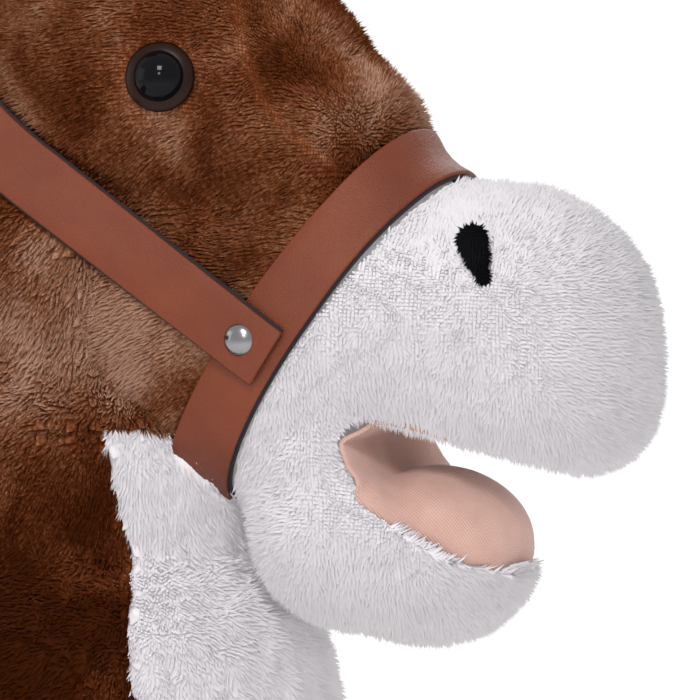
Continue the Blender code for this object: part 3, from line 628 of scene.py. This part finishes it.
def skull_lobes():
    return [
        lobe(at(-57, 83), (64, 54, 63), 38),
        lobe(at(-32, 70), (42, 48, 53), 50),
        lobe(at(-50, 8), (66, 50, 60), 20),
        lobe(at(3, 2), (56, 49, 68), 38),
        lobe(at(34, 6), (50, 46, 46), 30),
        lobe(at(66, 2), (54, 45, 50), 14),
        lobe(at(83, -12), (36, 43, 37), 10),
        lobe(at(91, -21), (27, 38, 27), 10),
        lobe(at(-1, 57), (38, 43, 38), 38),
    ]


def jaw_lobes():
    return [
        lobe(at(37, -65), (42, 41, 39), 16),
        lobe(at(12, -63), (38, 43, 37), 24),
        lobe(at(8, -38), (24, 44, 24)),
    ]


TORSO = stuffed(torso_lobes(), 0.0100, 10)
SKULL = stuffed(skull_lobes(), 0.0055, 10)
HEADBAND = (NOSEBAND, HEAD_AXIS)
BAND_UP = Vector((math.sin(HEAD_PITCH), 0.0, math.cos(HEAD_PITCH)))
SKULL_TREE = tree_of(SKULL)
HALF = STRAP_WIDTH / 2


def build_bridle():
    """The noseband and the crown strap, each of leather on a thin dark backing that shows at its edge."""
    ring = spread(0.0, 360.0, 121)
    sheet = wrapped(SKULL_TREE, NOSEBAND, HEAD_AXIS, BAND_UP, spread(-HALF, HALF, 5), ring, -0.0010)
    band = show("noseband_leather", thick(sheet, 0.0018, 0.0005), LEATHER, replaces=["noseband"])
    rows = spread(-HALF + 0.001, HALF + 0.0008, 5)
    sheet = wrapped(SKULL_TREE, NOSEBAND, HEAD_AXIS, BAND_UP, rows, ring, -0.0019)
    show("noseband_backing", thick(sheet, 0.0009), BACKING)

    back = Vector((-math.cos(HEADSTALL_PITCH), 0.0, math.sin(HEADSTALL_PITCH)))
    normal = Vector((math.sin(HEADSTALL_PITCH), 0.0, math.cos(HEADSTALL_PITCH)))
    under = tree_of(SKULL, TORSO, band.data)
    sheet = wrapped(under, RIVET, normal, back, spread(-HALF, HALF, 5), spread(-102.0, 102.0, 103), 0.0014)
    strap = show("crown_strap_leather", thick(sheet, 0.0018, 0.0005), LEATHER, replaces=["crown_strap"])
    rows = spread(-HALF - 0.0006, HALF + 0.0006, 5)
    sheet = wrapped(under, RIVET, normal, back, rows, spread(-101.6, 101.6, 103), 0.0006)
    show("crown_strap_backing", thick(sheet, 0.0009), BACKING)
    outer = tree_of(strap.data)
    for side, y_side in SIDES:
        hit = outer.ray_cast(RIVET + Vector((0, y_side * 0.2, 0)), Vector((0, -y_side, 0)))[0]
        out = Vector((0.12, y_side, 0.0)).normalized()
        matrix = Matrix.Translation(hit - out * 0.0004) @ out.to_track_quat("Z", "Y").to_matrix().to_4x4()
        bm = bmesh.new()
        bmesh.ops.create_uvsphere(bm, u_segments=40, v_segments=20, radius=1.0,
                                  matrix=matrix @ Matrix.Diagonal((0.0051, 0.0051, 0.0024, 1.0)))
        bmesh.ops.create_cone(bm, cap_ends=True, segments=40, radius1=0.0053, radius2=0.0049, depth=0.0008,
                              matrix=matrix)
        show(f"{side}_rivet_cap", mesh_of(bm), CHROME, replaces=[f"{side}_rivet"])
    return tree_of(band.data, strap.data)


STRAPS = build_bridle()


def build_eyes():
    rings = []
    for side, y_side in SIDES:
        out = Vector((0.26, y_side, 0.10)).normalized()
        turn = out.to_track_quat("Z", "Y").to_matrix().to_4x4()
        matrix = Matrix.Translation(box_middle(f"{side}_eye_ring")) @ turn
        bm = bmesh.new()
        bmesh.ops.create_uvsphere(bm, u_segments=48, v_segments=24, radius=1.0,
                                  matrix=matrix @ Matrix.Diagonal((0.0114, 0.0114, 0.0032, 1.0)))
        ring = show(f"{side}_eye_rim", mesh_of(bm), EYE_BROWN, replaces=[f"{side}_eye_ring"])
        rings.append(ring.data)
        bm = bmesh.new()
        lift = Matrix.Translation(Vector((0, 0, 0.0012)))
        bmesh.ops.create_uvsphere(bm, u_segments=48, v_segments=24, radius=1.0,
                                  matrix=matrix @ lift @ Matrix.Diagonal((0.0084, 0.0084, 0.0062, 1.0)))
        show(f"{side}_eye_dome", mesh_of(bm), EYE_BLACK, replaces=[f"{side}_eye"])
    return tree_of(*rings)


EYES = build_eyes()
EYE_SPOTS = [box_middle(f"{side}_eye_ring") for side in ("left", "right")]
CHEEK_SEAM = [Vector((0.2180, 0.0, 0.5680)), Vector((0.2230, 0.0, 0.5520)), Vector((0.2330, 0.0, 0.5320)),
              Vector((0.2540, 0.0, 0.5140))]


def from_seam(point):
    """How far a place is from the seam that runs down each cheek."""
    flat = Vector((point.x, 0.0, point.z))
    far = [(flat - end).length for end in CHEEK_SEAM]
    for a, b in zip(CHEEK_SEAM, CHEEK_SEAM[1:]):
        near, share = geometry.intersect_point_line(flat, a, b)
        if 0 <= share <= 1:
            far.append((near - flat).length)
    return min(far)


def trimmed(point):
    """Pile is short round the eyes and sinks into the cheek seam."""
    far = min((point - spot).length for spot in EYE_SPOTS)
    short = min(1.0, max(0.25, (far - 0.009) / 0.010))
    return short * min(1.0, 0.15 + max(0.0, from_seam(point) - 0.0006) / 0.0035)


def head_nap(point):
    """Head pile is brushed back and down from the nose bridge."""
    return Vector((-0.75, 0.25 if point.y > 0 else -0.25, -0.55))


def down_nap(_):
    return Vector((-0.25, 0.0, -1.0))


def muzzle_nap(_):
    return Vector((0.45, 0.0, -0.35))


def gather(mesh, depth):
    """Draws a skin in by the length of its pile."""
    bm = bmesh.new()
    bm.from_mesh(mesh)
    bm.normal_update()
    for vert in bm.verts:
        vert.co -= vert.normal * depth
    return mesh_of(bm)


def mouth_gap():
    outline = [(19, -28), (84, -43), (102, -51), (150, -56), (150, -74), (74, -73), (56, -66), (36, -51)]
    return prism([at(x, z) for x, z in outline], 0.09)


def white_face():
    """Muzzle and lower jaw in one skin, open at the mouth, with the jaw's padding raised in the middle."""
    skull = stuffed(skull_lobes(), 0.0040, 10)
    both = boolean(skull, stuffed(jaw_lobes(), 0.0050, 6), "UNION")
    open_mouth = boolean(remeshed(both, 0.0034, 8), mouth_gap(), "DIFFERENCE")
    cushion = stuffed([lobe(at(48, -61), (26, 32, 18), 26)], 0.0040, 2)
    return remeshed(boolean(open_mouth, cushion, "UNION"), 0.0026, 4)


def build_head(face):
    brown = gather(sliced(stuffed(skull_lobes(), 0.0040, 10), HEADBAND), 0.0044)
    head = pelt(brown, 2, 0.0053, head_nap, 11, [STRAPS, EYES], thin=trimmed, lean=0.75, curl=0.26)
    obj = show("head_plush", head, BROWN, replaces=["head"])

    white = gather(sliced(face, (NOSEBAND, -HEAD_AXIS)), 0.0054)
    body = pelt(white, 1, 0.0048, muzzle_nap, 12, [STRAPS, NOSTRILS, LINING], lean=0.75, curl=0.2)
    obj = show("muzzle_and_jaw_plush", body, WHITE, body=None, replaces=["muzzle", "lower_jaw"])
    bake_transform(obj)


def build_nostrils():
    patches = []
    for side, y_side in SIDES:
        start = box_middle(f"{side}_nostril") + Vector((0.0, y_side * 0.05, 0.0))
        hit = SKULL_TREE.ray_cast(start, Vector((0.0, -y_side, 0.0)))[0]
        spots = [(-0.0005, 0.0050, 0.0050), (0.0012, 0.0, 0.0040), (0.0030, -0.0055, 0.0024)]
        form = [(hit + Vector((x, -y_side * 0.0006, z)), Vector((r, 0.0024, r)), 0.0) for x, z, r in spots]
        skin = stuffed(form, 0.0010, 4)
        mesh = pelt(skin, 0, 0.0022, lambda p: Vector((0.2, 0, -1)), 30 + y_side, lean=0.8)
        show(f"{side}_nostril_patch", mesh, BLACK_PATCH, replaces=[f"{side}_nostril"])
        patches.append(skin)
    return tree_of(*patches)


NOSTRILS = build_nostrils()


def build_lining(face):
    """The pink knit inside the mouth, bent round the corner from the jaw's padding up to the roof."""
    corner, between = at(28, -32), Vector((math.sin(math.radians(17)), 0.0, math.cos(math.radians(17))))
    below, above = tree_of(sliced(face, (corner, between))), tree_of(sliced(face, (corner, -between)))
    jaw_out = Vector((math.sin(math.radians(35)), 0.0, math.cos(math.radians(35))))
    roof_out = -Vector((math.sin(math.radians(13)), 0.0, math.cos(math.radians(13))))
    line = [at(x, z) for x, z in ((69, -74), (64, -70.5), (58, -66), (50, -60), (42, -55), (34, -49),
                                  (27, -42), (23, -34), (30, -30.2), (48, -34.5), (62, -37.5), (72, -40))]
    half = [0.014, 0.024, 0.029, 0.032, 0.034, 0.036, 0.037, 0.035, 0.030, 0.027, 0.024, 0.016]
    bm = bmesh.new()
    bmesh.ops.create_grid(bm, x_segments=60, y_segments=40, size=1.0)
    for vert in bm.verts:
        along = (vert.co.x + 1) / 2 * (len(line) - 1)
        i = min(int(along), len(line) - 2)
        share = along - i
        width = half[i] * (1 - share) + half[i + 1] * share
        point = line[i].lerp(line[i + 1], share) + Vector((0.0, vert.co.y * width, 0.0))
        tree, out = (below, jaw_out) if along < 6 else (above, roof_out)
        hit = tree.ray_cast(point + out * 0.030, -out, 0.045)[0] if along < 5.5 or along > 8 else None
        rim = max(0.0, (max(abs(vert.co.y), 1.0 - along / 4) - 0.80) / 0.20) ** 2
        vert.co = hit - out * (0.0008 + 0.0042 * rim if along < 6 else 0.0030) if hit else point
    bmesh.ops.smooth_vert(bm, verts=bm.verts, factor=0.5, use_axis_x=True, use_axis_y=True, use_axis_z=True)
    sheet = mesh_of(bm)
    mesh = thick(sheet, 0.0014)
    obj = show("mouth_lining", mesh, PINK, body=None, replaces=["jaw_lining", "mouth_roof_lining"])
    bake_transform(obj)
    return tree_of(sliced(mesh, (corner, between)))


FACE = white_face()
LINING = build_lining(FACE)
build_head(FACE)

WITHERS = (Vector((0.150, 0.0, 0.345)), Vector((0.50, 0.0, 0.86)).normalized())
BIB_REAR = (Vector((0.178, 0.0, 0.430)), Vector((-0.98, 0.0, -0.20)).normalized())
BIB_TOP = (Vector((0.0, 0.0, 0.429)), Vector((0.0, 0.0, 1.0)))
BIB_SEAMS = [BIB_REAR, BIB_TOP, *((Vector((0.0, y * 0.064, 0.0)), Vector((0.0, y, 0.0))) for _, y in SIDES)]


def bib(point):
    return all((point - on_seam).dot(normal) < 0 for on_seam, normal in BIB_SEAMS)


def parted(mesh, inside, seams=()):
    """The skin split along a seam into what is inside it and what is outside."""
    made = []
    for keep in (True, False):
        bm = bmesh.new()
        bm.from_mesh(mesh)
        for on_seam, normal in seams:
            bmesh.ops.bisect_plane(bm, geom=bm.verts[:] + bm.edges[:] + bm.faces[:], dist=1e-5,
                                   plane_co=on_seam, plane_no=normal)
        gone = [f for f in bm.faces if inside(f.calc_center_median()) != keep]
        bmesh.ops.delete(bm, geom=gone, context="FACES")
        made.append(mesh_of(bm))
    return made


def build_torso():
    skin = gather(stuffed(torso_lobes(), 0.0046, 14), 0.0046)
    front = sliced(skin, (WITHERS[0], -WITHERS[1]))
    rear = sliced(stuffed(torso_lobes(), 0.0068, 10), WITHERS)
    in_skull = tree_of(gather(SKULL, 0.015))
    front = parted(front, lambda p: inside_of(in_skull, p))[1]
    chest, neck = parted(front, bib, BIB_SEAMS)
    obj = show("neck_plush", pelt(neck, 2, 0.0068, down_nap, 21, [STRAPS]), BROWN, replaces=["neck"])
    obj = show("chest_blaze_plush", pelt(chest, 2, 0.0058, down_nap, 22, [STRAPS], lean=0.8), WHITE,
               replaces=["chest_blaze"])
    trunk = pelt(gather(rear, 0.0044), 2, 0.0062, lambda p: Vector((-1, 0, -0.5)), 23)
    obj = show("body_plush", trunk, BROWN, replaces=["body"])
    return obj


BODY = build_torso()


def build_legs():
    for end, x_side in (("front", 1), ("rear", -1)):
        for side, y_side in SIDES:
            lobes = [
                lobe(Vector((x_side * 0.140, y_side * 0.052, 0.292)), (60, 42, 66)),
                lobe(Vector((x_side * 0.150, y_side * 0.066, 0.225)), (46, 35, 66)),
                lobe(Vector((x_side * 0.160, y_side * 0.080, 0.165)), (36, 31, 64)),
                lobe(Vector((x_side * 0.168, y_side * 0.090, 0.122)), (34, 31, 46)),
            ]
            hoof_top = (Vector((0, 0, 0.110)), Vector((0, 0, -1)))
            skin = sliced(gather(stuffed(lobes, 0.0065, 8), 0.0030), hoof_top)
            name = f"{side}_{end}_leg"
            leg = pelt(skin, 1, 0.0062, lambda p: Vector((0, 0, -1)), 40 + x_side * 2 + y_side)
            obj = show(name + "_plush", leg, BROWN, replaces=[name])
            foot = Vector((x_side * 0.1690, y_side * 0.0920, 0.0660))
            outline = [(0.0, 0.0), (0.0, 0.0345), (0.0012, 0.0364), (0.0035, 0.0372), (0.0180, 0.0360),
                       (0.0330, 0.0342), (0.0342, 0.0334), (0.0354, 0.0342), (0.0430, 0.0338),
                       (0.0448, 0.0328), (0.0455, 0.0300), (0.0455, 0.0)]
            hoof = turned(outline, foot, Vector((0, 0, 1)))
            show(f"{side}_{end}_hoof_shell", hoof, HOOF, replaces=[f"{side}_{end}_hoof"])


build_legs()


def build_ears():
    for side, y_side in SIDES:
        base = at(-66, 140, y_side * 34)
        tip = Vector((0.004, y_side * 0.012, 0.040))
        skin = stuffed([
            (base, Vector((0.015, 0.022, 0.022)), 0.0),
            (base + tip * 0.45, Vector((0.012, 0.019, 0.024)), 0.0),
            (base + tip * 0.85, Vector((0.009, 0.012, 0.022)), 0.0),
        ], 0.0036, 6)
        ear = pelt(gather(skin, 0.0020), 1, 0.0045, lambda p: Vector((0, 0, 1)), 50 + y_side)
        obj = show(f"{side}_ear_plush", ear, BROWN, replaces=[f"{side}_ear"])


build_ears()


def build_hair():
    crest = [lobe(Vector((0.136, 0.0, 0.600)), (44, 21, 27), -35),
             lobe(Vector((0.098, 0.0, 0.556)), (32, 21, 46), 20),
             lobe(Vector((0.076, 0.0, 0.510)), (30, 21, 48), 20),
             lobe(Vector((0.064, 0.0, 0.462)), (24, 19, 42), 15)]
    tuft = [lobe(at(-38, 150), (24, 20, 12), 30), lobe(at(-16, 134), (22, 15, 10), 52)]
    pivot = Vector((-0.228, 0.0, 0.352))
    tail = [lobe(pivot + Vector((-0.006, 0, 0.002)), (16, 15, 16)),
            lobe(pivot + Vector((-0.020, 0, -0.004)), (18, 16, 19)),
            lobe(pivot + Vector((-0.036, 0, -0.042)), (19, 20, 44), -12),
            lobe(pivot + Vector((-0.044, 0, -0.105)), (21, 24, 56), -4),
            lobe(pivot + Vector((-0.042, 0, -0.165)), (16, 18, 40), 4)]
    for name, lobes, body, nap, seed in (
            ("mane", crest, "horse", lambda p: Vector((-0.4, 0.5 if p.y > 0 else -0.5, -1.0)), 60),
            ("forelock", tuft, "horse", lambda p: Vector((0.8, 0.0, -0.7)), 61),
            ("tail", tail, "tail", lambda p: Vector((0.0, 0.0, -1.0)), 62)):
        skin = stuffed(lobes, 0.0042, 6)
        mesh = pelt(gather(skin, 0.0060), 1, 0.0150, nap, seed, lean=2.2, curl=0.7)
        obj = show(name + "_hair", mesh, BLACK_HAIR, body=body, replaces=[name])


build_hair()


# ---------------------------------------------------------------- saddle, frame and fittings


def build_saddle():
    torso = tree_of(TORSO)
    middle, up, axis = Vector((SADDLE_X, 0.0, 0.335)), Vector((0, 0, 1)), Vector((1, 0, 0))
    sheet = wrapped(torso, middle, axis, up, spread(-0.016, 0.016, 3), spread(0, 360, 91), 0.0030)
    show("girth_leather", thick(sheet, 0.0022, 0.0005), LEATHER, replaces=["girth"])
    rows = spread(-0.095, 0.044, 15)
    sheet = wrapped(torso, middle, axis, up, rows, spread(-100, 100, 61), 0.0052, convex=False)
    obj = show("saddle_cloth_felt", thick(sheet, 0.0030, 0.0010), FELT, replaces=["saddle_cloth"])

    def puff(row, angle):
        u = (row + 0.024) / 0.058
        v = angle / 58.0
        full = max(0.0, 1 - abs(u) ** 4) * max(0.0, 1 - abs(v) ** 4)
        cantle = 0.010 * max(0.0, -u - 0.35) * max(0.0, 1 - v * v)
        pommel = 0.008 * max(0.0, u - 0.45) * max(0.0, 1 - v * v)
        seam = 0.0022 * math.exp(-((abs(v) - 0.55) / 0.05) ** 2)
        return 0.0090 + 0.0075 * math.sqrt(full) + cantle + pommel - seam

    rows = spread(-0.082, 0.034, 31)
    sheet = wrapped(torso, middle, axis, up, rows, spread(-58, 58, 61), puff, convex=False)
    obj = show("saddle_seat", thick(sheet, 0.0040, 0.0012), LEATHER, replaces=["saddle"])


build_saddle()


def build_grips():
    """Ribbed sleeves on the handle bar, each with a flange at its inner end and a rounded outer end."""
    for side, y_side in SIDES:
        low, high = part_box(f"{side}_handle_grip")
        radius, length = (high.z - low.z) / 2, high.y - low.y
        outline = [(0.0, 0.0128), (0.0, radius * 0.98), (0.0010, radius), (0.0040, radius),
                   (0.0052, radius * 0.97), (0.0058, radius * 0.86)]
        ribs = 9
        step = (length - 0.020) / ribs
        for i in range(ribs):
            start = 0.0080 + i * step
            outline += [(start, radius * 0.83), (start + step * 0.25, radius * 0.90),
                        (start + step * 0.60, radius * 0.90), (start + step * 0.85, radius * 0.83)]
        outline += [(length - 0.0100, radius * 0.88), (length - 0.0040, radius * 0.87),
                    (length - 0.0012, radius * 0.76), (length, radius * 0.55), (length, 0.0)]
        middle = (low + high) / 2
        inner = Vector((middle.x, low.y if y_side > 0 else high.y, middle.z))
        mesh = turned(outline, inner, Vector((0, y_side, 0)))
        show(f"{side}_ribbed_grip", mesh, BLACK_PLASTIC, replaces=[f"{side}_handle_grip"])


build_grips()


def dress_frame():
    """Finishes for the pieces that show as they were made."""
    finish = {
        "left_rocker": WOOD_X, "right_rocker": WOOD_X, "front_crossbar": WOOD_Y, "rear_crossbar": WOOD_Y,
        "spine_board": WOOD_X, "neck_post": WOOD_Z, "handle_bar": WOOD_Y, "jaw_pin": CHROME,
        "left_stirrup_stud": CHROME, "right_stirrup_stud": CHROME, "tail_shaft": CHROME,
        "jaw_motor_case": BLACK_PLASTIC, "jaw_plate": BLACK_PLASTIC, "ear_button": BLACK_PLASTIC,
        "battery_case": BLACK_PLASTIC, "battery_door": BLACK_PLASTIC,
        "left_stirrup": BLACK_PLASTIC, "right_stirrup": BLACK_PLASTIC,
        "left_stirrup_strap": LEATHER, "right_stirrup_strap": LEATHER,
    }
    for side in ("left", "right"):
        for end in ("front", "rear"):
            finish[f"{side}_{end}_leg_post"] = WOOD_Z
    for name, mat in finish.items():
        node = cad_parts[name]
        node.data.materials.clear()
        node.data.materials.append(mat)
        if "rocker" in name or "crossbar" in name or ("stirrup" in name and "stud" not in name):
            edge = node.modifiers.new("eased edges", "BEVEL")
            edge.width = 0.0012
            edge.segments = 2
            edge.limit_method = "ANGLE"
            edge.angle_limit = math.radians(40)


dress_frame()


# ---------------------------------------------------------------- studio


def build_studio():
    bm = bmesh.new()
    bmesh.ops.create_grid(bm, x_segments=1, y_segments=1, size=6.0)
    mesh = mesh_of(bm, "floor")
    floor = bpy.data.objects.new("floor", mesh)
    bpy.context.scene.collection.objects.link(floor)
    mat, _, shader = new_material("pale floor", 0.9)
    shader.inputs["Base Color"].default_value = (0.88, 0.88, 0.88, 1.0)
    shader.inputs["Emission Color"].default_value = (1.0, 1.0, 1.0, 1.0)
    shader.inputs["Emission Strength"].default_value = 0.32
    mesh.materials.append(mat)

    world = bpy.data.worlds.new("studio")
    world.use_nodes = True
    backdrop = world.node_tree.nodes["Background"]
    backdrop.inputs["Color"].default_value = (1.0, 1.0, 1.0, 1.0)
    tree = world.node_tree
    seen = add(tree, "ShaderNodeLightPath").outputs["Is Camera Ray"]
    link(tree, maths(tree, "MULTIPLY_ADD", seen, 0.23, 0.82), backdrop.inputs["Strength"])
    bpy.context.scene.world = world
    bpy.context.scene.view_settings.view_transform = "Standard"

    for name, where, size, energy in (
            ("key", (0.7, -1.7, 1.7), 0.50, 22.0),
            ("glint", (0.75, -1.9, 1.05), 0.22, 4.0),
            ("fill", (-1.5, -1.2, 0.9), 1.2, 5.0),
            ("back", (-0.2, 1.8, 1.8), 1.0, 12.0)):
        lamp = bpy.data.lights.new(name, "AREA")
        lamp.size = size
        lamp.energy = energy
        obj = bpy.data.objects.new(name, lamp)
        bpy.context.scene.collection.objects.link(obj)
        obj.location = where
        obj.rotation_euler = (Vector(where) - NOSEBAND).to_track_quat("Z", "Y").to_euler()


def build_camera():
    turn, rise, far, field = math.radians(25), math.radians(2), 1.6, 0.222
    to_camera = Vector((math.sin(turn) * math.cos(rise), -math.cos(turn) * math.cos(rise), math.sin(rise)))
    right = Vector((math.cos(turn), math.sin(turn), 0.0))
    target = RIVET + Vector((0.0, -0.054, 0.0)) + right * 0.0362 - Vector((0, 0, 0.0032))
    camera = bpy.data.cameras.new("camera")
    camera.lens = camera.sensor_width * far / field
    camera.clip_start = 0.01
    obj = bpy.data.objects.new("camera", camera)
    bpy.context.scene.collection.objects.link(obj)
    obj.location = target + to_camera * far
    obj.rotation_euler = to_camera.to_track_quat("Z", "Y").to_euler()
    bpy.context.scene.camera = obj


build_studio()
build_camera()
